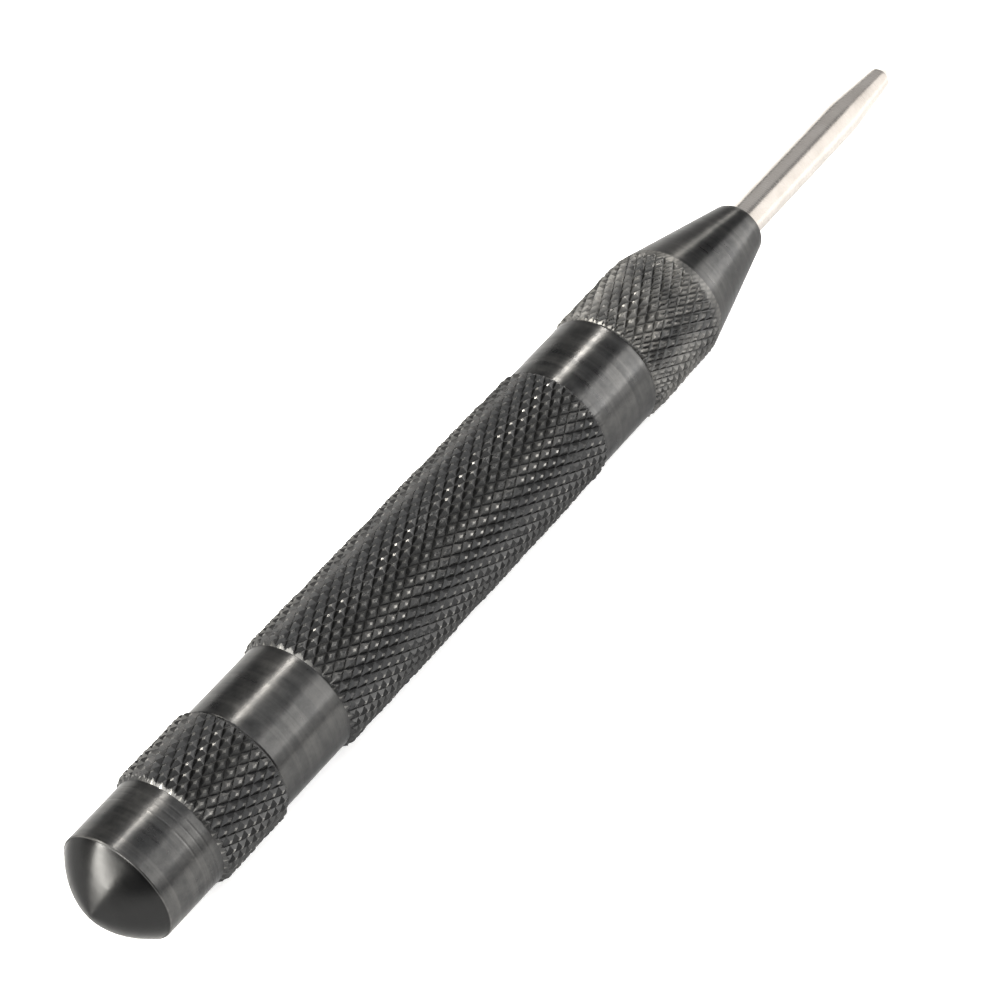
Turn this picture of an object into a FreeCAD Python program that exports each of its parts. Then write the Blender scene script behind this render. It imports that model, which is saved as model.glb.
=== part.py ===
import FreeCAD
import Part
import math
import os

# Automatic centre punch: a knurled steel tube holding a spring-driven hammer behind a sliding point.
# The tool lies along X with its point towards +X and rests on its knurls, +Z up. The origin is the
# middle of its length, on the surface it rests on. All sizes are in millimetres.

# --- lengths along the tool, from the domed end to the tip ---
dome_height = 3.4
cap_plain_length = 7.2
cap_knurl_length = 8.8
rear_band_length = 9.1
barrel_knurl_length = 40.0
front_band_length = 8.6
nose_knurl_length = 9.8
nose_taper_length = 14.3
shank_length = 20.0
shank_taper_length = 7.2
tip_length = 1.6

# --- outside diameters ---
knurl_diameter = 12.85
cap_diameter = 11.8
rear_band_diameter = 11.9
front_band_diameter = 12.2
nose_end_diameter = 5.7
shank_diameter = 3.7
tip_base_diameter = 2.4

# --- outside edges ---
dome_arc_radius = 9.4
knurl_chamfer = 0.45
band_chamfer = 0.15
nose_edge = 0.3

# --- how far a bore's cutting solid reaches past the face that it opens through ---
cut_overshoot = 1.0

# --- screw threads, shown as plain envelopes at the thread's outside diameter ---
thread_diameter = 10.0
thread_clearance = 0.05
thread_relief = 0.5
nose_thread_length = 7.0
cap_thread_length = 8.0
spigot_chamfer = 0.4

# --- working stroke and clearances ---
stroke = 9.0
running_clearance = 0.05
contact_gap = 0.02
head_clearance = 0.3
spring_clearance = 0.25

# --- nose and point ---
nose_guide_length = 10.2
head_floor = 3.9
cup_depth = 1.5
cup_clearance = 0.2

# --- drive pin and the web it centres in ---
pin_shank_diameter = 4.0
pin_shank_length = 13.5
collar_step = 0.8
collar_length = 2.0
guide_diameter = 4.4
guide_entry = 0.5
pin_cone_length = 2.0
tail_diameter = 2.0
tail_offset = 1.0
web_thickness = 5.0
web_lead_in_depth = 1.5
web_lead_in_flare = 0.65
web_hole_clearance = 0.1

# --- trip spring ---
trip_wire_diameter = 0.5
trip_solid_length = 1.5
trip_side_clearance = 0.4
trip_chamber_clearance = 0.135
trip_seat_gap = 0.25
trip_turns = 6
trip_wire_sides = 10

# --- hammer and main spring ---
hammer_chamber_diameter = 8.5
hammer_clearance = 0.08
hammer_rest_gap = 0.1
hammer_stop_gap = 1.5
hammer_bore_clearance = 0.15
hammer_bore_allowance = 3.0
hammer_bore_flare = 0.5
hammer_spigot_length = 4.0
hammer_spigot_clearance = 0.1
cap_bore_diameter = 7.6
cap_end_wall = 4.6
main_wire_diameter = 1.1
main_coil_spacing = 1.25

# --- places along X ---
overall_length = (
    dome_height + cap_plain_length + cap_knurl_length + rear_band_length + barrel_knurl_length
    + front_band_length + nose_knurl_length + nose_taper_length
    + shank_length + shank_taper_length + tip_length
)
x_apex = -overall_length / 2
x_rim = x_apex + dome_height
x_cap_knurl = x_rim + cap_plain_length
x_cap_seat = x_cap_knurl + cap_knurl_length
x_barrel_knurl = x_cap_seat + rear_band_length
x_front_band = x_barrel_knurl + barrel_knurl_length
x_nose_seat = x_front_band + front_band_length
x_nose_taper = x_nose_seat + nose_knurl_length
x_nose_face = x_nose_taper + nose_taper_length
x_shank_end = x_nose_face + shank_length
x_taper_end = x_shank_end + shank_taper_length
x_tip = x_taper_end + tip_length

x_head_stop = x_nose_face - nose_guide_length
x_head_front = x_head_stop - contact_gap
x_cup_floor = x_head_front - head_floor
x_pin_front = x_cup_floor - contact_gap
x_pin_pivot = x_pin_front - pin_shank_diameter / 2
x_collar_front = x_pin_front - pin_shank_length
x_collar_rear = x_collar_front - collar_length
x_web_front = x_collar_rear - stroke - trip_solid_length
x_web_rear = x_web_front - web_thickness
x_guide_rear = x_web_front - web_lead_in_depth - guide_entry + stroke
x_pin_cone_rear = x_guide_rear - pin_cone_length
x_cap_spigot = x_cap_seat + cap_thread_length
x_nose_spigot = x_nose_seat - nose_thread_length
x_cap_bore_floor = x_rim + cap_end_wall
x_hammer_front = x_web_rear - hammer_rest_gap
x_hammer_rear = x_cap_spigot + hammer_stop_gap + stroke

# --- radii that follow from a fit ---
knurl_radius = knurl_diameter / 2
thread_radius = thread_diameter / 2
socket_radius = thread_radius + thread_clearance
shank_radius = shank_diameter / 2
guide_radius = guide_diameter / 2
collar_radius = guide_radius + collar_step
pin_tilt = math.degrees(math.atan2(tail_offset, x_pin_pivot - x_web_rear))
collar_drop = (x_pin_pivot - x_collar_rear) * math.tan(math.radians(pin_tilt))
trip_coil_radius = guide_radius + trip_side_clearance + trip_wire_diameter / 2
front_chamber_radius = trip_coil_radius + trip_wire_diameter / 2 + collar_drop + trip_chamber_clearance
head_radius = front_chamber_radius - head_clearance
tail_radius = tail_diameter / 2
web_hole_radius = guide_radius + web_hole_clearance
hammer_chamber_radius = hammer_chamber_diameter / 2
cap_bore_radius = cap_bore_diameter / 2
main_coil_radius = cap_bore_radius - spring_clearance - main_wire_diameter / 2
hammer_spigot_radius = main_coil_radius - main_wire_diameter / 2 - hammer_spigot_clearance
axis_height = knurl_radius


def turned(outline):
    """Solid turned about X. An outline entry is a point (x, r), or (middle, end) for an arc."""
    start = FreeCAD.Vector(outline[0][0], 0, outline[0][1])
    edges = []
    here = start
    for entry in outline[1:] + [outline[0]]:
        curved = isinstance(entry[0], tuple)
        end_point = entry[1] if curved else entry
        end = FreeCAD.Vector(end_point[0], 0, end_point[1])
        if curved:
            middle = FreeCAD.Vector(entry[0][0], 0, entry[0][1])
            edges.append(Part.Arc(here, middle, end).toShape())
        else:
            edges.append(Part.LineSegment(here, end).toShape())
        here = end
    face = Part.Face(Part.Wire(edges))
    return face.revolve(FreeCAD.Vector(0, 0, 0), FreeCAD.Vector(1, 0, 0), 360)


def bored(body, outline):
    """Body with a turned hollow taken out of it."""
    return body.cut(turned(outline))


def arc_middle(start, end, radius):
    """Middle point of the arc of this radius from start to end, bulging away from the axis."""
    chord = math.hypot(end[0] - start[0], end[1] - start[1])
    sagitta = radius - math.sqrt(radius ** 2 - (chord / 2) ** 2)
    across = ((start[1] - end[1]) / chord, (end[0] - start[0]) / chord)
    return (
        (start[0] + end[0]) / 2 + across[0] * sagitta,
        (start[1] + end[1]) / 2 + across[1] * sagitta,
    )


def coil(x_start, x_end, coil_radius, wire_diameter, turns, sides=0):
    """Coil spring between two flat seats, of round wire, or of wire with this many flat sides."""
    height = x_end - x_start - wire_diameter - 2 * contact_gap
    centre_line = Part.Wire(Part.makeHelix(height / turns, height, coil_radius).Edges)
    middle = FreeCAD.Vector(coil_radius, 0, 0)
    across = FreeCAD.Vector(0, 1, 0)
    if sides:
        angles = [2 * math.pi * side / sides for side in range(sides + 1)]
        corners = [
            middle + FreeCAD.Vector(math.cos(angle), 0, math.sin(angle)) * (wire_diameter / 2)
            for angle in angles
        ]
        section = Part.makePolygon(corners)
    else:
        section = Part.Wire([Part.makeCircle(wire_diameter / 2, middle, across)])
    spring = centre_line.makePipeShell([section], True, True)
    spring.rotate(FreeCAD.Vector(0, 0, 0), FreeCAD.Vector(0, 1, 0), 90)
    spring.translate(FreeCAD.Vector(x_start + wire_diameter / 2 + contact_gap, 0, 0))
    return spring


def make_rear_cap():
    """Domed screw cap that closes the tube and holds the back of the main spring."""
    cap_radius = cap_diameter / 2
    rim = (x_rim, cap_radius - band_chamfer)
    outside = turned([
        (x_apex, 0),
        (arc_middle((x_apex, 0), rim, dome_arc_radius), rim),
        (x_rim + band_chamfer, cap_radius),
        (x_cap_knurl, cap_radius),
        (x_cap_knurl + knurl_chamfer, knurl_radius),
        (x_cap_seat - knurl_chamfer, knurl_radius),
        (x_cap_seat - contact_gap, knurl_radius - knurl_chamfer),
        (x_cap_seat - contact_gap, thread_radius),
        (x_cap_spigot - spigot_chamfer, thread_radius),
        (x_cap_spigot, thread_radius - spigot_chamfer),
        (x_cap_spigot, 0),
    ])
    return bored(outside, [
        (x_cap_bore_floor, 0),
        (x_cap_bore_floor, cap_bore_radius),
        (x_cap_spigot + cut_overshoot, cap_bore_radius),
        (x_cap_spigot + cut_overshoot, 0),
    ])


def make_barrel():
    """Tube with a threaded socket at each end and a web between its two chambers."""
    rear_radius = rear_band_diameter / 2
    front_radius = front_band_diameter / 2
    outside = turned([
        (x_cap_seat, 0),
        (x_cap_seat, rear_radius - band_chamfer),
        (x_cap_seat + band_chamfer, rear_radius),
        (x_barrel_knurl, rear_radius),
        (x_barrel_knurl + knurl_chamfer, knurl_radius),
        (x_front_band - knurl_chamfer, knurl_radius),
        (x_front_band, front_radius),
        (x_nose_seat - band_chamfer, front_radius),
        (x_nose_seat, front_radius - band_chamfer),
        (x_nose_seat, 0),
    ])
    with_hammer_chamber = bored(outside, [
        (x_cap_seat - cut_overshoot, 0),
        (x_cap_seat - cut_overshoot, socket_radius),
        (x_cap_spigot + thread_relief, socket_radius),
        (x_cap_spigot + thread_relief, hammer_chamber_radius),
        (x_web_rear, hammer_chamber_radius),
        (x_web_rear, 0),
    ])
    with_web_hole = bored(with_hammer_chamber, [
        (x_web_rear - cut_overshoot, 0),
        (x_web_rear - cut_overshoot, web_hole_radius),
        (x_web_front - web_lead_in_depth, web_hole_radius),
        (x_web_front, web_hole_radius + web_lead_in_flare),
        (x_web_front + cut_overshoot, web_hole_radius + web_lead_in_flare),
        (x_web_front + cut_overshoot, 0),
    ])
    return bored(with_web_hole, [
        (x_web_front, 0),
        (x_web_front, front_chamber_radius),
        (x_nose_spigot - thread_relief, front_chamber_radius),
        (x_nose_spigot - thread_relief, socket_radius),
        (x_nose_seat + cut_overshoot, socket_radius),
        (x_nose_seat + cut_overshoot, 0),
    ])


def make_nose_cone():
    """Knurled and tapered nose that screws into the tube and guides the point."""
    end_radius = nose_end_diameter / 2
    outside = turned([
        (x_nose_spigot, 0),
        (x_nose_spigot, thread_radius - spigot_chamfer),
        (x_nose_spigot + spigot_chamfer, thread_radius),
        (x_nose_seat, thread_radius),
        (x_nose_seat, knurl_radius - knurl_chamfer),
        (x_nose_seat + knurl_chamfer, knurl_radius),
        (x_nose_taper, knurl_radius),
        (x_nose_face - nose_edge, end_radius),
        (x_nose_face, end_radius - nose_edge),
        (x_nose_face, 0),
    ])
    with_chamber = bored(outside, [
        (x_nose_spigot - cut_overshoot, 0),
        (x_nose_spigot - cut_overshoot, front_chamber_radius),
        (x_head_stop, front_chamber_radius),
        (x_head_stop, 0),
    ])
    guide_hole_radius = shank_radius + running_clearance
    return bored(with_chamber, [
        (x_head_stop - cut_overshoot, 0),
        (x_head_stop - cut_overshoot, guide_hole_radius),
        (x_nose_face + cut_overshoot, guide_hole_radius),
        (x_nose_face + cut_overshoot, 0),
    ])


def make_punch_point():
    """Hardened point: a round shank ground to a tip, with a cupped head that keeps it in the nose."""
    outside = turned([
        (x_cup_floor - cup_depth, 0),
        (x_cup_floor - cup_depth, head_radius - spigot_chamfer),
        (x_cup_floor - cup_depth + spigot_chamfer, head_radius),
        (x_head_front, head_radius),
        (x_head_front, shank_radius),
        (x_shank_end, shank_radius),
        (x_taper_end, tip_base_diameter / 2),
        (x_tip, 0),
    ])
    cup_radius = pin_shank_diameter / 2 + cup_clearance
    return bored(outside, [
        (x_cup_floor - cup_depth - cut_overshoot, 0),
        (x_cup_floor - cup_depth - cut_overshoot, cup_radius),
        (x_cup_floor, cup_radius),
        (x_cup_floor, 0),
    ])


def make_drive_pin():
    """Collared pin that rocks on its round front end, so its tail rests beside the hammer's bore."""
    shank = pin_shank_diameter / 2
    half_round = shank * math.sqrt(0.5)
    pin = turned([
        (x_web_rear, 0),
        (x_web_rear, tail_radius),
        (x_pin_cone_rear, tail_radius),
        (x_guide_rear, guide_radius),
        (x_collar_rear, guide_radius),
        (x_collar_rear, collar_radius),
        (x_collar_front, collar_radius),
        (x_collar_front, shank),
        (x_pin_pivot, shank),
        ((x_pin_pivot + half_round, half_round), (x_pin_front, 0)),
    ])
    pin.rotate(FreeCAD.Vector(x_pin_pivot, 0, 0), FreeCAD.Vector(0, 1, 0), -pin_tilt)
    return pin


def make_trip_spring():
    """Light spring from the web to the pin's collar, leaning with the pin to hold it off centre."""
    x_start = x_web_front + trip_seat_gap
    x_end = x_collar_rear - trip_seat_gap
    spring = coil(x_start, x_end, trip_coil_radius, trip_wire_diameter, trip_turns, trip_wire_sides)
    lean = math.degrees(math.atan2(collar_drop, x_collar_rear - x_web_front))
    spring.rotate(FreeCAD.Vector(x_web_front, 0, 0), FreeCAD.Vector(0, 1, 0), lean)
    return spring


def make_hammer():
    """Sliding hammer with a bore for the pin's tail and a spigot that centres the main spring."""
    hammer_radius = hammer_chamber_radius - hammer_clearance
    bore_radius = tail_radius + hammer_bore_clearance
    x_bore_end = x_hammer_front - stroke - hammer_bore_allowance
    outside = turned([
        (x_hammer_rear - hammer_spigot_length, 0),
        (x_hammer_rear - hammer_spigot_length, hammer_spigot_radius - band_chamfer),
        (x_hammer_rear - hammer_spigot_length + band_chamfer, hammer_spigot_radius),
        (x_hammer_rear, hammer_spigot_radius),
        (x_hammer_rear, hammer_radius - band_chamfer),
        (x_hammer_rear + band_chamfer, hammer_radius),
        (x_hammer_front - band_chamfer, hammer_radius),
        (x_hammer_front, hammer_radius - band_chamfer),
        (x_hammer_front, 0),
    ])
    return bored(outside, [
        (x_bore_end, 0),
        (x_bore_end, bore_radius),
        (x_hammer_front - hammer_bore_flare, bore_radius),
        (x_hammer_front, bore_radius + hammer_bore_flare),
        (x_hammer_front + cut_overshoot, bore_radius + hammer_bore_flare),
        (x_hammer_front + cut_overshoot, 0),
    ])


def make_main_spring():
    """Main spring from the cap's floor to the hammer's shoulder, open enough for the full stroke."""
    room = x_hammer_rear - x_cap_bore_floor
    turns = int((room - stroke) / (main_wire_diameter * main_coil_spacing))
    return coil(x_cap_bore_floor, x_hammer_rear, main_coil_radius, main_wire_diameter, turns)


makers = {
    "barrel": make_barrel,
    "nose_cone": make_nose_cone,
    "rear_cap": make_rear_cap,
    "punch_point": make_punch_point,
    "drive_pin": make_drive_pin,
    "trip_spring": make_trip_spring,
    "hammer": make_hammer,
    "main_spring": make_main_spring,
}

os.makedirs("parts", exist_ok=True)
for name, make in makers.items():
    piece = make()
    piece.translate(FreeCAD.Vector(0, 0, axis_height))
    piece.exportStep("parts/" + name + ".step")
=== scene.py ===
import math
import bmesh
import bpy
import numpy as np
from mathutils import Matrix, Vector


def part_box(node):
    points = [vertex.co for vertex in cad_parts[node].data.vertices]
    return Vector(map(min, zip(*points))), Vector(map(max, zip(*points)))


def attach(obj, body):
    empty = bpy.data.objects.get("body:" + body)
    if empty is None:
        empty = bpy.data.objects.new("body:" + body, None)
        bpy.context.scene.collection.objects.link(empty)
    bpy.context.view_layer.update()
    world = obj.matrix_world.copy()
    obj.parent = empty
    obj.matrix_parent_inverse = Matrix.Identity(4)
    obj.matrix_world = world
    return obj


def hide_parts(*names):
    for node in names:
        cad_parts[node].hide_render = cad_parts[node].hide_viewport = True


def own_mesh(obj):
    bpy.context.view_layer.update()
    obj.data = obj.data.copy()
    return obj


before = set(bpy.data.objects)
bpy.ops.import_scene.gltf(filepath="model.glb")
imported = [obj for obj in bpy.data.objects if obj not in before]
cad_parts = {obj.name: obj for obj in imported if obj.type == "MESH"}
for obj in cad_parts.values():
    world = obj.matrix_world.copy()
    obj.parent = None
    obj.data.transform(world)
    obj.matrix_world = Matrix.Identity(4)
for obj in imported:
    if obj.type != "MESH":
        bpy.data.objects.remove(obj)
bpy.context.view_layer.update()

MM = 0.001

# ------------------------------------------------------------------ sizes, in millimetres

# --- bands along the tool ---
DOME_HEIGHT = 3.4
DOME_ARC_RADIUS = 9.4
CAP_PLAIN_LENGTH = 7.2
REAR_BAND_LENGTH = 9.1
BARREL_KNURL_LENGTH = 40.0
NOSE_KNURL_LENGTH = 9.8
SHANK_LENGTH = 20.0
SHANK_TAPER_LENGTH = 7.2
CAP_DIAMETER = 11.8
REAR_BAND_DIAMETER = 11.9
FRONT_BAND_DIAMETER = 12.2
NOSE_END_DIAMETER = 5.7
SHANK_DIAMETER = 3.7
TIP_BASE_DIAMETER = 2.4
THREAD_DIAMETER = 10.0
THREAD_PITCH = 1.0
THREAD_DEPTH = 0.55
THREAD_STEPS = 8
THREAD_ROOT_GAIN = 1.15
SEAT_GAP = 0.02

# --- knurl: 36 starts each way on a 30 degree helix ---
KNURL_STARTS = 36
KNURL_PITCH = 2.0
KNURL_STEPS = 10
KNURL_DEPTH = 0.36
KNURL_FLAT = 0.4
KNURL_CHAMFER = 0.45
CREST_INSET = 0.002
COLUMNS = KNURL_STARTS * KNURL_STEPS
ROW = KNURL_PITCH / KNURL_STEPS

# --- how rough each knurl is, and its second tracks, uneven depth and wear ---
CAP_ROUGHNESS = 0.25
BARREL_ROUGHNESS = 0.5
NOSE_ROUGHNESS = 1.0
NOSE_WORN = 1.0
TRACK_FLAT = 0.28
TRACK_DEPTH = 0.95
PATCH_LENGTH = 9.0
PATCH_GAIN = 1.6
PATCH_LOSS = 0.8
UNEVEN_LENGTH = 6.0
UNEVEN_DEPTH = 0.1
END_LENGTH = 0.5
END_WEAR = 0.4
WORN_ALL_OVER = 0.6
WORN_AT_CRESTS = 0.4

# --- bores, chambers and hidden pieces ---
SOCKET_RADIUS = 5.05
FRONT_CHAMBER_RADIUS = 3.7
HAMMER_CHAMBER_RADIUS = 4.25
CAP_BORE_RADIUS = 3.8
CAP_END_WALL = 4.6
WEB_HOLE_RADIUS = 2.3
WEB_LEAD_IN = 1.5
WEB_FLARE = 0.65
WEB_FRONT = -3.98
WEB_THICKNESS = 5.0
GUIDE_RADIUS = 1.9
NOSE_GUIDE_LENGTH = 10.2
THREAD_RELIEF = 0.5
HEAD_RADIUS = 3.4
HEAD_CHAMFER = 0.4
HEAD_SOLID_LENGTH = 3.9
CUP_RADIUS = 2.2

# --- springs: the trip spring's coil leans to clear the leaning pin ---
MAIN_COIL_RADIUS = 3.0
MAIN_WIRE = 1.1
MAIN_COILS = 13
TRIP_COIL_RADIUS = 2.85
TRIP_WIRE = 0.5
TRIP_COILS = 5
TRIP_LEAN = 0.036
TRIP_START_GAP = 0.25
TRIP_END_GAP = 0.1
CLOSED_COILS = 1.0
CLOSED_PITCH = 1.02
GROUND_OFF = 0.18
WIRE_SIDES = 12
STEPS_PER_COIL = 40

# --- corners, chamfers and end rings of the turned outlines ---
BAND_CORNER = 0.18
BAND_CORNER_ALONG = 0.05
BAND_CORNER_IN = 0.07
RIM_CORNER = 0.15
RIM_ALONG = 0.04
RIM_IN = 0.06
SPIGOT_CHAMFER = 0.4
UNDERCUT_DEPTH = 0.3
UNDERCUT_LENGTH = 1.0
UNDERCUT_END = 1.3
CAP_BORE_CHAMFER = 0.1
CAP_FLOOR_RING = 0.5
KNURL_RUN_OUT = 1.3
NOSE_CORNER = 0.3
NOSE_CORNER_RISE = 0.05
NOSE_CORNER_ALONG = 0.17
NOSE_CORNER_IN = 0.06
NOSE_FACE_IN = 0.28
GUIDE_CHAMFER = 0.15
CUP_FLOOR_RING = 0.3
POINT_ROUND = 0.01
TAPER_START_IN = 0.02
TIP_START_IN = 0.07
TIP_END_RADIUS = 0.06
TIP_FLAT_RADIUS = 0.02

# --- gaps beside a corner and steps between rings ---
INSET = 0.1
BAND_INSET = 0.5
BAND_STEP = 1.0
RINGS_INSET = 0.4
RINGS_STEP = 0.06
CONE_INSET = 0.15
CONE_STEP = 0.6
SHANK_INSET = 0.15
SHANK_STEP = 0.8
TAPER_INSET = 0.2
TAPER_STEP = 0.4
TIP_INSET = 0.08
TIP_END_INSET = 0.03
TIP_STEP = 0.1
DOME_RINGS = 28

# --- fine turned grooves on the cap, from its rim ---
RING_PLACES = (4.8, 5.6, 6.3)
RING_DEPTH = 0.012
RING_WIDTH = 0.08

# --- wear painted on plain corners, 0 to 1 ---
CORNER_WEAR = 0.5
RIM_WEAR = 0.6
SHANK_WEAR = 0.4
TIP_WEAR = 0.6
BORE_WEAR = 0.2
HIDDEN_WEAR = 0.1

# --- places along X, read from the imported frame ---
BARREL_LOW, BARREL_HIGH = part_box("barrel")
NOSE_LOW, NOSE_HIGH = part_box("nose_cone")
CAP_LOW, CAP_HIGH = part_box("rear_cap")
POINT_LOW, POINT_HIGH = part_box("punch_point")
X_APEX = CAP_LOW[0] / MM
X_CAP_SPIGOT = CAP_HIGH[0] / MM
X_SEAT = BARREL_LOW[0] / MM
X_NOSE_SEAT = BARREL_HIGH[0] / MM
X_NOSE_SPIGOT = NOSE_LOW[0] / MM
X_NOSE_FACE = NOSE_HIGH[0] / MM
X_TIP = POINT_HIGH[0] / MM
X_HEAD = POINT_LOW[0] / MM
X_RIM = X_APEX + DOME_HEIGHT
X_CAP_KNURL = X_RIM + CAP_PLAIN_LENGTH
X_BARREL_KNURL = X_SEAT + REAR_BAND_LENGTH
X_FRONT_BAND = X_BARREL_KNURL + BARREL_KNURL_LENGTH
X_NOSE_TAPER = X_NOSE_SEAT + NOSE_KNURL_LENGTH
X_SHANK_END = X_NOSE_FACE + SHANK_LENGTH
X_TAPER_END = X_SHANK_END + SHANK_TAPER_LENGTH
X_RINGS = [X_RIM + place for place in RING_PLACES]
KNURL_RADIUS = (BARREL_HIGH[2] - BARREL_LOW[2]) / MM / 2 - CREST_INSET
AXIS_HEIGHT = (BARREL_HIGH[2] + BARREL_LOW[2]) / 2

# --- mesh and seeded noise ---
ANGLES = np.arange(COLUMNS) * 2 * math.pi / COLUMNS
RANDOM = np.random.default_rng(7)
NOISE_WAVES = 5
NOISE_TURNS = 5
NOISE_STRETCH = (0.3, 1.0)
NOISE_MULTIPLES = [1, 2, 3]
SHARP_DEGREES = 22
WIRE_SHARP_DEGREES = 40


# ------------------------------------------------------------------ turned meshes

def smooth_noise(x, angles, wavelength):
    """Seeded smooth noise, about -1 to 1, over places x and angles, with waves of about wavelength mm."""
    total = np.zeros(np.broadcast(x, angles).shape)
    for _ in range(NOISE_WAVES):
        turns = RANDOM.integers(0, NOISE_TURNS)
        along = RANDOM.uniform(*NOISE_STRETCH) * 2 * math.pi / wavelength * RANDOM.choice(NOISE_MULTIPLES)
        total = total + np.sin(along * x + turns * angles + RANDOM.uniform(0, 2 * math.pi))
    return total / math.sqrt(NOISE_WAVES)


def groove(phase, half_width):
    """V-groove centred on whole numbers of phase: 1 at its bottom, 0 on the flat beside it."""
    away = np.abs(phase - np.round(phase))
    return np.clip(1 - away / half_width, 0, 1)


class Row:
    """One ring of a turned mesh: its place, its radius round the axis, its paint, and its weight of painted
    shade.
    """

    def __init__(self, x, radius, crest=0.0, wear=0.0, knurled=0.0, lean=0.0, painted_shade=0.0):
        self.x = x
        self.radius = radius + np.zeros(COLUMNS)
        self.crest = crest + np.zeros(COLUMNS)
        self.wear = wear + np.zeros(COLUMNS)
        self.knurled = knurled
        self.painted_shade = painted_shade
        self.lean = lean + np.zeros(COLUMNS)


def knurled_rows(start, end, start_radius, end_radius, roughness, cone=None, worn=0.0):
    """Rings of a diamond knurl, chamfered down to the bands beside it or cut through by a cone."""
    count = int(round((end - start) / ROW))
    places = start + np.arange(count + 1) * (end - start) / count
    x = places[:, None]
    angles = ANGLES[None, :]
    turn = KNURL_STARTS * angles / (2 * math.pi)
    left = groove(turn + (x - start) / KNURL_PITCH, KNURL_FLAT)
    right = groove(turn - (x - start) / KNURL_PITCH, KNURL_FLAT)
    patch = np.clip(smooth_noise(x, angles, PATCH_LENGTH) + PATCH_GAIN * roughness - PATCH_LOSS, 0, 1)
    second_track = roughness * patch * groove(turn - (x - start) / KNURL_PITCH + 0.5, TRACK_FLAT)
    depth = KNURL_DEPTH * (1 + UNEVEN_DEPTH * roughness * smooth_noise(x, angles, UNEVEN_LENGTH))
    cut = np.maximum(left, right)
    sunk = np.maximum(cut * depth, second_track * KNURL_DEPTH * TRACK_DEPTH)
    radius = KNURL_RADIUS - sunk
    radius = np.minimum(radius, start_radius + (x - start))
    if cone is None:
        radius = np.minimum(radius, end_radius + (end - x))
    else:
        radius = np.minimum(radius, cone(x))
    crest = np.clip(1 - sunk / KNURL_DEPTH, 0, 1)
    edge = np.exp(-((x - start) / END_LENGTH) ** 2) + np.exp(-((end - x) / END_LENGTH) ** 2)
    lean = left - right
    wear = END_WEAR * edge * crest + worn * (WORN_ALL_OVER + WORN_AT_CRESTS * crest)
    return [
        Row(places[i], radius[i], crest[i], wear[i], 1.0, lean[i])
        for i in range(count + 1)
    ]


def plain_rows(points, edge_wear=CORNER_WEAR):
    """Rings through turned corners (x, r), all with the same wear."""
    return [Row(x, radius, wear=edge_wear) for x, radius in points]


def span_rows(x_start, r_start, x_end, r_end, step, shape=None):
    """Rings spread evenly between two places, with an optional extra radius shape(x)."""
    count = max(1, int(round(abs(x_end - x_start) / step)))
    rows = []
    for i in range(count + 1):
        share = i / count
        x = x_start + (x_end - x_start) * share
        radius = r_start + (r_end - r_start) * share
        if shape is not None:
            radius = radius + shape(x)
        rows.append(Row(x, radius))
    return rows


def thread_rows(x_start, x_end, major):
    """Rings of a right-hand vee thread whose ends fade into the plain spigot."""
    rows = []
    count = int(round((x_end - x_start) / (THREAD_PITCH / THREAD_STEPS)))
    for i in range(count + 1):
        x = x_start + (x_end - x_start) * i / count
        phase = (x / THREAD_PITCH) - ANGLES / (2 * math.pi)
        fade = min(1.0, (x - x_start) / THREAD_PITCH, (x_end - x) / THREAD_PITCH)
        cut = np.clip(THREAD_ROOT_GAIN * groove(phase, 0.5), 0, 1)
        rows.append(Row(x, major - THREAD_DEPTH * max(fade, 0) * cut, crest=1 - cut))
    return rows


def lathe(name, rows, looped, columns=COLUMNS):
    """Closed mesh turned about the tool's axis. A looped outline has a hole right through."""
    step = COLUMNS // columns
    angles = ANGLES[::step]
    vertices, crest, wear, knurl, painted_shade = [], [], [], [], []
    for row in rows:
        radius = row.radius[::step]
        ring = np.stack([
            np.full(columns, row.x), -radius * np.sin(angles), radius * np.cos(angles)
        ], axis=1)
        vertices.append(ring)
        crest.append(row.crest[::step])
        wear.append(row.wear[::step])
        knurl.append(np.full(columns, row.knurled))
        painted_shade.append(np.full(columns, row.painted_shade))
    faces = []
    pairs = [(i, i + 1) for i in range(len(rows) - 1)] + ([(len(rows) - 1, 0)] if looped else [])
    column = np.arange(columns)
    after = (column + 1) % columns
    for i, k in pairs:
        a, b = i * columns + column, i * columns + after
        c, d = k * columns + after, k * columns + column
        if rows[i].knurled and rows[k].knurled:
            lean = rows[i].lean + rows[k].lean
            falls = (lean + np.roll(lean, -1)) > 0
            first = np.where(falls[:, None], np.stack([a, b, d], 1), np.stack([a, b, c], 1))
            second = np.where(falls[:, None], np.stack([b, c, d], 1), np.stack([a, c, d], 1))
            faces.extend(first.tolist())
            faces.extend(second.tolist())
        else:
            faces.extend(np.stack([a, b, c, d], 1).tolist())
    points = np.concatenate(vertices) * MM
    if not looped:
        start, end = len(points), len(points) + 1
        poles = np.array([[rows[0].x, 0, 0], [rows[-1].x, 0, 0]]) * MM
        points = np.concatenate([points, poles])
        last = (len(rows) - 1) * columns
        faces.extend(np.stack([after, column, np.full(columns, start)], 1).tolist())
        faces.extend(np.stack([last + column, last + after, np.full(columns, end)], 1).tolist())
        for values in (crest, wear, knurl):
            values.append(np.zeros(2))
        painted_shade.append(np.array([rows[0].painted_shade, rows[-1].painted_shade]))
    points[:, 2] += AXIS_HEIGHT
    mesh = bpy.data.meshes.new(name)
    mesh.from_pydata(points.tolist(), [], faces)
    # the last attribute is a painted shade weight: 1 on the dome, where the material paints a much darker
    # oxide, and 0 elsewhere
    for label, values in (("crest", crest), ("wear", wear), ("knurl", knurl), ("painted_shade", painted_shade)):
        layer = mesh.attributes.new(label, "FLOAT", "POINT")
        layer.data.foreach_set("value", np.concatenate(values).astype(np.float32))
    return shaded(name, mesh)


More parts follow.
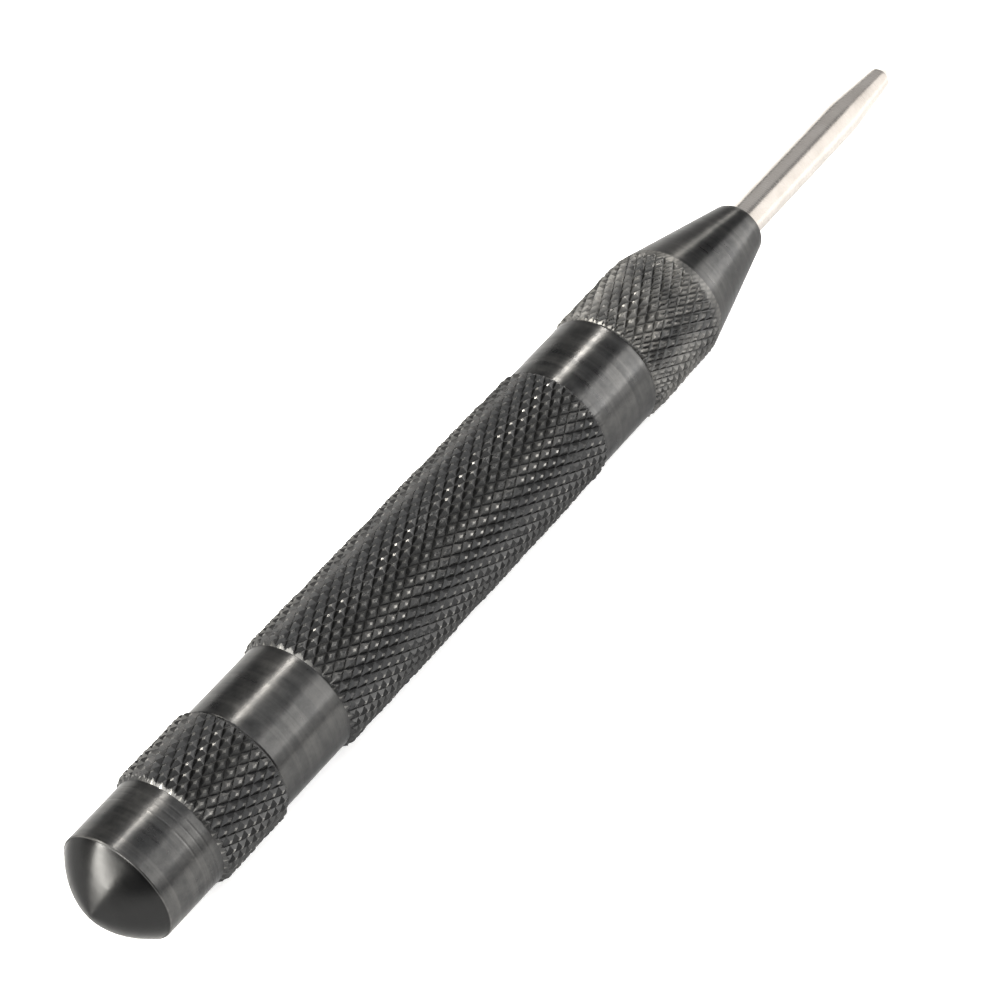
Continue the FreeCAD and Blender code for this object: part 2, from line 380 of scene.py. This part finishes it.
def shaded(name, mesh, sharp_degrees=SHARP_DEGREES):
    """Object from a closed mesh with outward faces, smooth except across sharp corners."""
    work = bmesh.new()
    work.from_mesh(mesh)
    bmesh.ops.recalc_face_normals(work, faces=work.faces)
    work.to_mesh(mesh)
    work.free()
    mesh.shade_smooth()
    mesh.set_sharp_from_angle(angle=math.radians(sharp_degrees))
    piece = bpy.data.objects.new(name, mesh)
    bpy.context.scene.collection.objects.link(piece)
    return piece


# ------------------------------------------------------------------ outer pieces

def cone_radius(x):
    """Radius of the nose taper at x."""
    slope = (KNURL_RADIUS - NOSE_END_DIAMETER / 2) / (X_NOSE_FACE - X_NOSE_TAPER)
    return KNURL_RADIUS - (x - X_NOSE_TAPER) * slope


def dome_rows():
    """Rings of the shallow pointed dome, an arc from the apex to the rim, all marked for the painted shade on
    the dome.
    """
    rim = CAP_DIAMETER / 2 - RIM_CORNER
    chord = math.hypot(DOME_HEIGHT, rim)
    rise = math.atan2(rim, DOME_HEIGHT)
    half = math.asin(chord / 2 / DOME_ARC_RADIUS)
    rows = []
    for i in range(1, DOME_RINGS + 1):
        swing = half * (2 * i / DOME_RINGS - 1)
        along = chord / 2 + DOME_ARC_RADIUS * math.sin(swing)
        out = DOME_ARC_RADIUS * (math.cos(swing) - math.cos(half))
        x = X_APEX + along * math.cos(rise) - out * math.sin(rise)
        radius = along * math.sin(rise) + out * math.cos(rise)
        # the dome is marked for painted shade, a darker oxide standing in for dim reflections
        rows.append(Row(x, radius, painted_shade=1.0))
    return rows


def turned_rings(x):
    """Fine turned grooves left on the plain band of the cap."""
    return -sum(RING_DEPTH * math.exp(-((x - place) / RING_WIDTH) ** 2) for place in X_RINGS)


def make_rear_cap():
    """Domed screw cap: dome, plain band, knurl, threaded spigot and the spring's bore."""
    cap, spigot = CAP_DIAMETER / 2, THREAD_DIAMETER / 2
    seat = X_SEAT - SEAT_GAP
    floor = X_RIM + CAP_END_WALL
    rows = dome_rows()
    rows += [Row(X_RIM + RIM_ALONG, cap - RIM_IN, wear=RIM_WEAR)]
    rows += [Row(X_RIM + RIM_CORNER, cap, wear=CORNER_WEAR)]
    rows += span_rows(X_RIM + RINGS_INSET, cap, X_CAP_KNURL - INSET, cap, RINGS_STEP, turned_rings)
    rows += knurled_rows(X_CAP_KNURL, seat, cap, KNURL_RADIUS - KNURL_CHAMFER, CAP_ROUGHNESS)
    rows += plain_rows([
        (seat, spigot - UNDERCUT_DEPTH), (seat + UNDERCUT_LENGTH, spigot - UNDERCUT_DEPTH),
        (seat + UNDERCUT_END, spigot),
    ], HIDDEN_WEAR)
    rows += thread_rows(seat + UNDERCUT_END, X_CAP_SPIGOT - SPIGOT_CHAMFER, spigot)
    rows += plain_rows([
        (X_CAP_SPIGOT, spigot - SPIGOT_CHAMFER), (X_CAP_SPIGOT, CAP_BORE_RADIUS + CAP_BORE_CHAMFER),
        (X_CAP_SPIGOT - CAP_BORE_CHAMFER, CAP_BORE_RADIUS), (floor, CAP_BORE_RADIUS),
        (floor, CAP_FLOOR_RING),
    ], BORE_WEAR)
    return lathe("cap_shell", rows, looped=False)


def make_barrel():
    """Knurled tube with a plain band at each end and its stepped bore."""
    rear, front = REAR_BAND_DIAMETER / 2, FRONT_BAND_DIAMETER / 2
    web_rear = WEB_FRONT - WEB_THICKNESS
    front_relief = X_NOSE_SPIGOT - THREAD_RELIEF
    rear_relief = X_CAP_SPIGOT + THREAD_RELIEF
    rows = plain_rows([
        (X_SEAT, rear - BAND_CORNER), (X_SEAT + BAND_CORNER_ALONG, rear - BAND_CORNER_IN),
        (X_SEAT + BAND_CORNER, rear),
    ])
    rows += span_rows(X_SEAT + BAND_INSET, rear, X_BARREL_KNURL - INSET, rear, BAND_STEP)
    rows += knurled_rows(X_BARREL_KNURL, X_FRONT_BAND, rear, front, BARREL_ROUGHNESS)
    rows += span_rows(X_FRONT_BAND + INSET, front, X_NOSE_SEAT - BAND_INSET, front, BAND_STEP)
    rows += plain_rows([
        (X_NOSE_SEAT - BAND_CORNER, front), (X_NOSE_SEAT - BAND_CORNER_ALONG, front - BAND_CORNER_IN),
        (X_NOSE_SEAT, front - BAND_CORNER), (X_NOSE_SEAT, SOCKET_RADIUS),
    ])
    rows += plain_rows([
        (front_relief, SOCKET_RADIUS), (front_relief, FRONT_CHAMBER_RADIUS),
        (WEB_FRONT, FRONT_CHAMBER_RADIUS), (WEB_FRONT, WEB_HOLE_RADIUS + WEB_FLARE),
        (WEB_FRONT - WEB_LEAD_IN, WEB_HOLE_RADIUS), (web_rear, WEB_HOLE_RADIUS),
        (web_rear, HAMMER_CHAMBER_RADIUS), (rear_relief, HAMMER_CHAMBER_RADIUS),
        (rear_relief, SOCKET_RADIUS), (X_SEAT, SOCKET_RADIUS),
    ], HIDDEN_WEAR)
    return lathe("barrel_shell", rows, looped=True)


def make_nose():
    """Nose: knurled collar whose diamonds the taper cuts through, and its guide bore."""
    spigot, end = THREAD_DIAMETER / 2, NOSE_END_DIAMETER / 2
    run_out = KNURL_DEPTH * KNURL_RUN_OUT * (X_NOSE_FACE - X_NOSE_TAPER) / (KNURL_RADIUS - end)
    knurl_end = X_NOSE_TAPER + run_out
    knurl_start_radius = KNURL_RADIUS - KNURL_CHAMFER
    edge = X_NOSE_FACE - NOSE_CORNER
    cone_start, cone_end = knurl_end + CONE_INSET, edge - INSET
    head_stop = X_NOSE_FACE - NOSE_GUIDE_LENGTH
    rows = plain_rows([
        (X_NOSE_SPIGOT, spigot - SPIGOT_CHAMFER), (X_NOSE_SPIGOT + SPIGOT_CHAMFER, spigot),
        (X_NOSE_SEAT, spigot),
    ], HIDDEN_WEAR)
    rows += knurled_rows(
        X_NOSE_SEAT, knurl_end, knurl_start_radius, 0, NOSE_ROUGHNESS, cone_radius, worn=NOSE_WORN
    )
    rows += span_rows(cone_start, cone_radius(cone_start), cone_end, cone_radius(cone_end), CONE_STEP)
    rows += plain_rows([
        (edge, end + NOSE_CORNER_RISE), (edge + NOSE_CORNER_ALONG, end - NOSE_CORNER_IN),
        (X_NOSE_FACE, end - NOSE_FACE_IN), (X_NOSE_FACE, GUIDE_RADIUS + GUIDE_CHAMFER),
        (X_NOSE_FACE - GUIDE_CHAMFER, GUIDE_RADIUS),
    ])
    rows += plain_rows([
        (head_stop, GUIDE_RADIUS), (head_stop, FRONT_CHAMBER_RADIUS),
        (X_NOSE_SPIGOT, FRONT_CHAMBER_RADIUS),
    ], HIDDEN_WEAR)
    return lathe("nose_shell", rows, looped=True)


def make_point():
    """Bright shank with its ground taper and tip, and the cupped head hidden in the nose."""
    shank, base = SHANK_DIAMETER / 2, TIP_BASE_DIAMETER / 2
    head_front = X_NOSE_FACE - NOSE_GUIDE_LENGTH - SEAT_GAP
    cup_floor = head_front - HEAD_SOLID_LENGTH
    rows = plain_rows([
        (cup_floor, CUP_FLOOR_RING), (cup_floor, CUP_RADIUS), (X_HEAD, CUP_RADIUS),
        (X_HEAD, HEAD_RADIUS - HEAD_CHAMFER), (X_HEAD + HEAD_CHAMFER, HEAD_RADIUS),
        (head_front, HEAD_RADIUS), (head_front, shank),
    ], HIDDEN_WEAR)
    rows += span_rows(head_front + INSET, shank, X_SHANK_END - SHANK_INSET, shank, SHANK_STEP)
    rows += [Row(X_SHANK_END, shank - POINT_ROUND, wear=SHANK_WEAR)]
    rows += span_rows(
        X_SHANK_END + TAPER_INSET, shank - TAPER_START_IN, X_TAPER_END - INSET, base + POINT_ROUND, TAPER_STEP
    )
    rows += [Row(X_TAPER_END, base - POINT_ROUND, wear=TIP_WEAR)]
    rows += span_rows(
        X_TAPER_END + TIP_INSET, base - TIP_START_IN, X_TIP - TIP_END_INSET, TIP_END_RADIUS, TIP_STEP
    )
    rows += [Row(X_TIP, TIP_FLAT_RADIUS)]
    return lathe("point_shank", rows, looped=False, columns=COLUMNS // 3)


# ------------------------------------------------------------------ springs

def make_spring(name, start, end, coil_radius, wire, coils, lean=0.0):
    """Coil spring with closed, ground end coils, as one tube swept along its helix."""
    turns = coils + 2 * CLOSED_COILS
    steps = int(turns * STEPS_PER_COIL)
    shares = np.arange(steps + 1) / steps * turns
    solid = wire * CLOSED_PITCH
    open_length = (end - start) - wire - 2 * solid * CLOSED_COILS
    pitch = open_length / coils
    rates = np.where((shares < CLOSED_COILS) | (shares > turns - CLOSED_COILS), solid, pitch)
    kernel = np.ones(STEPS_PER_COIL // 4) / (STEPS_PER_COIL // 4)
    padded = np.pad(rates, (len(kernel), len(kernel)), mode="edge")
    rates = np.convolve(padded, kernel, mode="same")[len(kernel):-len(kernel)]
    along = np.concatenate([[0], np.cumsum((rates[1:] + rates[:-1]) / 2 * np.diff(shares))])
    along = start + wire / 2 + along * ((end - start) - wire) / along[-1]
    angle = 2 * math.pi * shares
    centre = np.stack([along, coil_radius * np.sin(angle), coil_radius * np.cos(angle)], 1)
    outward = np.stack([np.zeros_like(angle), np.sin(angle), np.cos(angle)], 1)
    tangent = np.gradient(centre, axis=0)
    tangent /= np.linalg.norm(tangent, axis=1)[:, None]
    binormal = np.cross(tangent, outward)
    ring = np.arange(WIRE_SIDES) * 2 * math.pi / WIRE_SIDES
    points = (
        centre[:, None, :]
        + outward[:, None, :] * np.cos(ring)[None, :, None] * wire / 2
        + binormal[:, None, :] * np.sin(ring)[None, :, None] * wire / 2
    )
    low, high = start + GROUND_OFF * wire, end - GROUND_OFF * wire
    points[:, :, 0] = np.clip(points[:, :, 0], low, high)
    points[:, :, 2] -= lean * (points[:, :, 0] - start)
    points = points.reshape(-1, 3) * MM
    points[:, 2] += AXIS_HEIGHT
    faces = []
    for i in range(steps):
        here, there = i * WIRE_SIDES, (i + 1) * WIRE_SIDES
        for k in range(WIRE_SIDES):
            m = (k + 1) % WIRE_SIDES
            faces.append((here + k, here + m, there + m, there + k))
    faces.append(tuple(reversed(range(WIRE_SIDES))))
    faces.append(tuple(range(steps * WIRE_SIDES, (steps + 1) * WIRE_SIDES)))
    mesh = bpy.data.meshes.new(name)
    mesh.from_pydata(points.tolist(), [], faces)
    return shaded(name, mesh, WIRE_SHARP_DEGREES)


# ------------------------------------------------------------------ materials

OXIDE_DARK = (0.0350, 0.0352, 0.0355, 1)
OXIDE_LIGHT = (0.0590, 0.0585, 0.0575, 1)
OXIDE_STREAK = (0.0830, 0.0815, 0.0790, 1)
OXIDE_GROOVE = (0.0440, 0.0440, 0.0442, 1)
# painted shade: a much darker oxide colour on the dome, standing in for the dim reflections of its
# surroundings rather than a different finish
PAINTED_DOME_SHADE = (0.0145, 0.0146, 0.0148, 1)
WORN_STEEL = (0.19, 0.185, 0.175, 1)
EDGE_TINT = (0.60, 0.60, 0.60, 1)
# how fully the dome takes the painted shade colour
PAINTED_SHADE_SHARE = 0.95
GROOVE_ROUGHNESS = 0.16
BLEND_MORE = 0.6
BLEND_LESS = 0.4

# --- noise scales, per metre; the stretched ones run round the tool as turning marks ---
CLOUD_SCALE = 260.0
SMUDGE_SCALE = 1100.0
SPECK_SCALE = 2600.0
RINGS_SCALE = (2000.0, 25.0, 25.0)
STREAK_SCALE = (1500.0, 30.0, 30.0)
TARNISH_SCALE = 400.0
GRINDING_SCALE = (14000.0, 90.0, 90.0)
GRAIN_SCALE = 900.0

# --- bump: strength, then height in metres ---
RINGS_BUMP = (0.05, 0.00004)
SPECK_BUMP = (0.15, 0.00003)
GRINDING_BUMP = (0.12, 0.00003)

# --- bright metals: two colours of tarnish, then roughness ---
POINT_STEEL = ((0.38, 0.355, 0.33, 1), (0.44, 0.415, 0.39, 1), 0.24)
INNER_STEEL = ((0.42, 0.42, 0.43, 1), (0.50, 0.50, 0.50, 1), 0.34)
WIRE_STEEL = ((0.30, 0.30, 0.32, 1), (0.38, 0.38, 0.40, 1), 0.30)

PAPER_DARK = (0.88, 0.88, 0.88, 1)
PAPER_LIGHT = (0.90, 0.90, 0.90, 1)
PAPER_ROUGHNESS = 0.9
PAPER_GLOSS = 0.1
PAPER_GLOW = 0.35


class Nodes:
    """Short helper that adds and links shader nodes of one material."""

    def __init__(self, name):
        self.material = bpy.data.materials.new(name)
        self.material.use_nodes = True
        self.tree = self.material.node_tree
        self.shader = self.tree.nodes["Principled BSDF"]

    def add(self, kind, inputs=None, **settings):
        node = self.tree.nodes.new("ShaderNode" + kind)
        for key, value in settings.items():
            setattr(node, key, value)
        for key, value in (inputs or {}).items():
            self.feed(node.inputs[key], value)
        return node

    def feed(self, socket, value):
        if isinstance(value, bpy.types.NodeSocket):
            self.tree.links.new(value, socket)
        else:
            socket.default_value = value

    def shade(self, name, value):
        self.feed(self.shader.inputs[name], value)

    def noise(self, coordinates, scale, detail, rough):
        node = self.add("TexNoise", {
            "Vector": coordinates, "Scale": scale, "Detail": detail, "Roughness": rough,
        })
        return node.outputs["Fac"]

    def scaled(self, coordinates, scale):
        return self.add("Mapping", {"Vector": coordinates, "Scale": scale}).outputs["Vector"]

    def ranged(self, value, low, high, out_low, out_high):
        node = self.add("MapRange", {
            "Value": value, "From Min": low, "From Max": high, "To Min": out_low, "To Max": out_high,
        })
        return node.outputs["Result"]

    def maths(self, operation, a, b):
        return self.add("Math", {0: a, 1: b}, operation=operation).outputs[0]

    def blended(self, more, less):
        more_part = self.maths("MULTIPLY", more, BLEND_MORE)
        less_part = self.maths("MULTIPLY", less, BLEND_LESS)
        return self.maths("ADD", more_part, less_part)

    def mixed(self, share, a, b):
        node = self.add("Mix", data_type="RGBA")
        for key, value in (("Factor", share), ("A", a), ("B", b)):
            self.feed([s for s in node.inputs if s.name == key and s.enabled][0], value)
        return [s for s in node.outputs if s.enabled][0]

    def bumped(self, height, bump, under=None):
        strength, distance = bump
        inputs = {"Height": height, "Strength": strength, "Distance": distance}
        if under is not None:
            inputs["Normal"] = under
        return self.add("Bump", inputs).outputs[0]

    def attribute(self, name):
        return self.add("Attribute", attribute_name=name).outputs["Fac"]

    def place(self):
        return self.add("TexCoord").outputs["Object"]


def black_oxide(name):
    """Blackened steel: turned rings, cloudy oxide, matt black grooves, brighter worn crests, and a painted
    shade that dims the dome's reflections.
    """
    n = Nodes(name)
    place = n.place()
    knurl = n.attribute("knurl")
    crest = n.attribute("crest")
    wear = n.attribute("wear")
    cloud = n.noise(place, CLOUD_SCALE, 4.0, 0.6)
    speck = n.noise(place, SPECK_SCALE, 3.0, 0.6)
    smudge = n.noise(place, SMUDGE_SCALE, 4.0, 0.65)
    rings = n.noise(n.scaled(place, RINGS_SCALE), 1.0, 1.0, 0.5)
    streak = n.noise(n.scaled(place, STREAK_SCALE), 1.0, 3.0, 0.6)
    flank = n.maths("MULTIPLY", knurl, n.ranged(crest, 0.85, 1.0, 1.0, 0.0))
    top = n.maths("MULTIPLY", knurl, n.ranged(crest, 0.85, 1.0, 0.0, 1.0))
    worn_crest = n.maths("MULTIPLY", top, n.ranged(speck, 0.35, 0.65, 0.15, 0.75))
    worn_edge = n.ranged(n.maths("MULTIPLY", wear, cloud), 0.25, 0.50, 0.0, 0.5)
    worn = n.maths("MAXIMUM", worn_crest, worn_edge)
    smooth = n.mixed(n.ranged(n.blended(cloud, smudge), 0.38, 0.64, 0.0, 1.0), OXIDE_DARK, OXIDE_LIGHT)
    turned = n.mixed(n.ranged(streak, 0.45, 0.75, 0.0, 0.5), smooth, OXIDE_STREAK)
    # painted shade: the dome's oxide is pushed to a far darker colour that stands in for the dim reflections
    # on it, not a different finish
    oxide_with_dome_shade = n.mixed(n.maths("MULTIPLY", n.attribute("painted_shade"), PAINTED_SHADE_SHARE), turned, PAINTED_DOME_SHADE)
    oxide = n.mixed(flank, oxide_with_dome_shade, OXIDE_GROOVE)
    n.shade("Base Color", n.mixed(worn, oxide, WORN_STEEL))
    rough = n.ranged(n.blended(cloud, rings), 0.3, 0.7, 0.24, 0.40)
    n.shade("Roughness", n.maths("ADD", rough, n.maths("MULTIPLY", flank, GROOVE_ROUGHNESS)))
    n.shade("Normal", n.bumped(speck, SPECK_BUMP, n.bumped(rings, RINGS_BUMP)))
    n.shade("Tangent", n.add("Tangent", direction_type="RADIAL", axis="X").outputs[0])
    n.shade("Metallic", 1.0)
    n.shade("Specular Tint", EDGE_TINT)
    n.shade("Anisotropic", 0.80)
    n.shade("Anisotropic Rotation", 0.25)
    return n.material


def ground_steel(name, colour_a, colour_b, roughness):
    """Bright steel with fine grinding rings round the axis and a faint tarnish."""
    n = Nodes(name)
    place = n.place()
    cloud = n.noise(place, TARNISH_SCALE, 3.0, 0.55)
    rings = n.noise(n.scaled(place, GRINDING_SCALE), 1.0, 2.0, 0.6)
    n.shade("Base Color", n.mixed(n.ranged(cloud, 0.3, 0.7, 0.0, 1.0), colour_a, colour_b))
    n.shade("Roughness", n.ranged(rings, 0.3, 0.7, roughness - 0.05, roughness + 0.08))
    n.shade("Normal", n.bumped(rings, GRINDING_BUMP))
    n.shade("Metallic", 1.0)
    n.shade("Specular Tint", EDGE_TINT)
    return n.material


def paper(name):
    """Matt pale floor with a trace of texture, which gives off a little light of its own."""
    n = Nodes(name)
    grain = n.noise(n.place(), GRAIN_SCALE, 2.0, 0.5)
    n.shade("Base Color", n.mixed(n.ranged(grain, 0.3, 0.7, 0.0, 1.0), PAPER_DARK, PAPER_LIGHT))
    n.shade("Roughness", PAPER_ROUGHNESS)
    n.shade("Specular IOR Level", PAPER_GLOSS)
    n.shade("Emission Color", (1, 1, 1, 1))
    n.shade("Emission Strength", PAPER_GLOW)
    return n.material


def give(piece, material):
    """Puts one material on every face of a piece."""
    piece.data.materials.clear()
    piece.data.materials.append(material)


# ------------------------------------------------------------------ stage, light and camera

HEADING = Vector((0.8173, 0.5762, 0.0))
ELEVATION = math.radians(48.85)
LENS = 122.5
SENSOR = 36.0
CLIP_START = 0.01
AIM = Vector((-0.02175, 0.0, AXIS_HEIGHT))
AIM_IN_VIEW = Vector((-9.50, -8.38, -309.5)) * MM

FLOOR_REACH = 3.0
WORLD_COLOUR = (0.97, 0.985, 1.0, 1)
WORLD_STRENGTH = 0.35

# --- lights: name, towards the point, degrees from +Z to -Y, length and width (m), watts, colour ---
LIGHT_DISTANCE = 0.9
BODY_LIGHTS = (
    ("key_softbox", 0.70, 50, 0.72, 0.56, 8.6, (1.0, 0.985, 0.96)),
    ("key_skirt", 0.70, 74, 0.72, 0.35, 2.7, (1.0, 0.985, 0.96)),
    ("strip_light", 0.57, -25, 0.45, 0.05, 5.6, (1.0, 0.96, 0.90)),
)
POINT_LIGHTS = (
    ("point_key", 0.64, 62, 0.9, 1.1, 6.4, (1.0, 0.965, 0.925)),
    ("point_back", 0.64, -38, 0.9, 0.9, 1.3, (1.0, 0.98, 0.96)),
)
SHARED_LIGHTS = (
    ("rear_strip", -0.87, -60, 0.75, 0.12, 42.0, (1.0, 0.97, 0.90)),
    ("top_fill", -0.12, 0, 0.4, 1.2, 8.0, (1, 1, 1)),
)


def make_camera():
    """Camera at the photograph's angle: AIM_IN_VIEW is the aim point in the camera's own axes."""
    forward = HEADING * math.cos(ELEVATION) - Vector((0, 0, math.sin(ELEVATION)))
    right = forward.cross(Vector((0, 0, 1))).normalized()
    up = right.cross(forward)
    turn = Matrix((right, up, -forward)).transposed()
    camera = bpy.data.objects.new("camera", bpy.data.cameras.new("camera"))
    camera.data.lens = LENS
    camera.data.sensor_width = SENSOR
    camera.data.clip_start = CLIP_START
    camera.matrix_world = Matrix.Translation(AIM - turn @ AIM_IN_VIEW) @ turn.to_4x4()
    bpy.context.scene.collection.objects.link(camera)
    bpy.context.scene.camera = camera


def softbox(name, along, around, length, width, power, tint):
    """Area light round the tool, aimed at it, from one row of the tables of lights."""
    turn = math.radians(around)
    across = math.sqrt(1 - along ** 2)
    z_axis = Vector((along, -across * math.sin(turn), across * math.cos(turn)))
    x_axis = (Vector((1, 0, 0)) - z_axis * z_axis.x).normalized()
    y_axis = z_axis.cross(x_axis)
    turn_matrix = Matrix((x_axis, y_axis, z_axis)).transposed()
    light = bpy.data.objects.new(name, bpy.data.lights.new(name, "AREA"))
    light.data.shape = "RECTANGLE"
    light.data.size = length
    light.data.size_y = width
    light.data.energy = power
    light.data.color = tint
    light.matrix_world = Matrix.Translation(z_axis * LIGHT_DISTANCE) @ turn_matrix.to_4x4()
    bpy.context.scene.collection.objects.link(light)
    return light


def make_stage():
    """Pale floor and every light. Returns the lights of the body and those of the point."""
    reach = FLOOR_REACH
    corners = [(-reach, -reach, 0), (reach, -reach, 0), (reach, reach, 0), (-reach, reach, 0)]
    floor_mesh = bpy.data.meshes.new("floor")
    floor_mesh.from_pydata(corners, [], [(0, 1, 2, 3)])
    floor = bpy.data.objects.new("floor", floor_mesh)
    bpy.context.scene.collection.objects.link(floor)
    give(floor, paper("floor_paper"))
    body_lights = [softbox(*row) for row in BODY_LIGHTS]
    point_lights = [softbox(*row) for row in POINT_LIGHTS]
    for row in SHARED_LIGHTS:
        softbox(*row)
    return body_lights, point_lights


def share_lights(body_lights, point_lights, point):
    """Gives the bright point its own dimmer softboxes and keeps the blackened body's off it."""
    groups = ((body_lights, "not_on_the_point", "EXCLUDE"), (point_lights, "only_on_the_point", "INCLUDE"))
    for lights, name, state in groups:
        group = bpy.data.collections.new(name)
        group.objects.link(point)
        group.collection_objects[0].light_linking.link_state = state
        for light in lights:
            light.light_linking.receiver_collection = group


def make_world():
    """Pale even surroundings, with colours shown as they are (the Standard view transform)."""
    world = bpy.data.worlds.new("studio")
    world.use_nodes = True
    background = world.node_tree.nodes["Background"]
    background.inputs["Color"].default_value = WORLD_COLOUR
    background.inputs["Strength"].default_value = WORLD_STRENGTH
    bpy.context.scene.world = world
    bpy.context.scene.view_settings.view_transform = "Standard"


# ------------------------------------------------------------------ assembly

make_camera()
make_world()
body_lights, point_lights = make_stage()

oxide = black_oxide("black_oxide")
bright = ground_steel("bright_steel", *POINT_STEEL)
plain_steel = ground_steel("inner_steel", *INNER_STEEL)
wire_steel = ground_steel("spring_wire", *WIRE_STEEL)

OUTER = (
    (make_barrel, "barrel", "barrel", "black_steel", oxide),
    (make_nose, "nose_cone", "barrel", "black_steel", oxide),
    (make_rear_cap, "rear_cap", "rear_cap", "black_steel", oxide),
    (make_point, "punch_point", "punch_point", "point_steel", bright),
)
for make, node, body, slot, material in OUTER:
    piece = make()
    give(piece, material)
    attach(piece, body)
    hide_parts(node)
    if node == "punch_point":
        share_lights(body_lights, point_lights, piece)

for node in ("drive_pin", "hammer"):
    give(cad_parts[node], plain_steel)

MAIN_START, MAIN_END = X_RIM + CAP_END_WALL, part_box("main_spring")[1][0] / MM
main_spring = make_spring("hammer_spring", MAIN_START, MAIN_END, MAIN_COIL_RADIUS, MAIN_WIRE, MAIN_COILS)
give(main_spring, wire_steel)
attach(main_spring, "main_spring")
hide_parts("main_spring")
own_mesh(main_spring)

TRIP_START, TRIP_END = WEB_FRONT + TRIP_START_GAP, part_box("trip_spring")[1][0] / MM - TRIP_END_GAP
trip_spring = make_spring(
    "trip_coil", TRIP_START, TRIP_END, TRIP_COIL_RADIUS, TRIP_WIRE, TRIP_COILS, lean=TRIP_LEAN
)
give(trip_spring, wire_steel)
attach(trip_spring, "barrel")
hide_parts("trip_spring")
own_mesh(trip_spring)
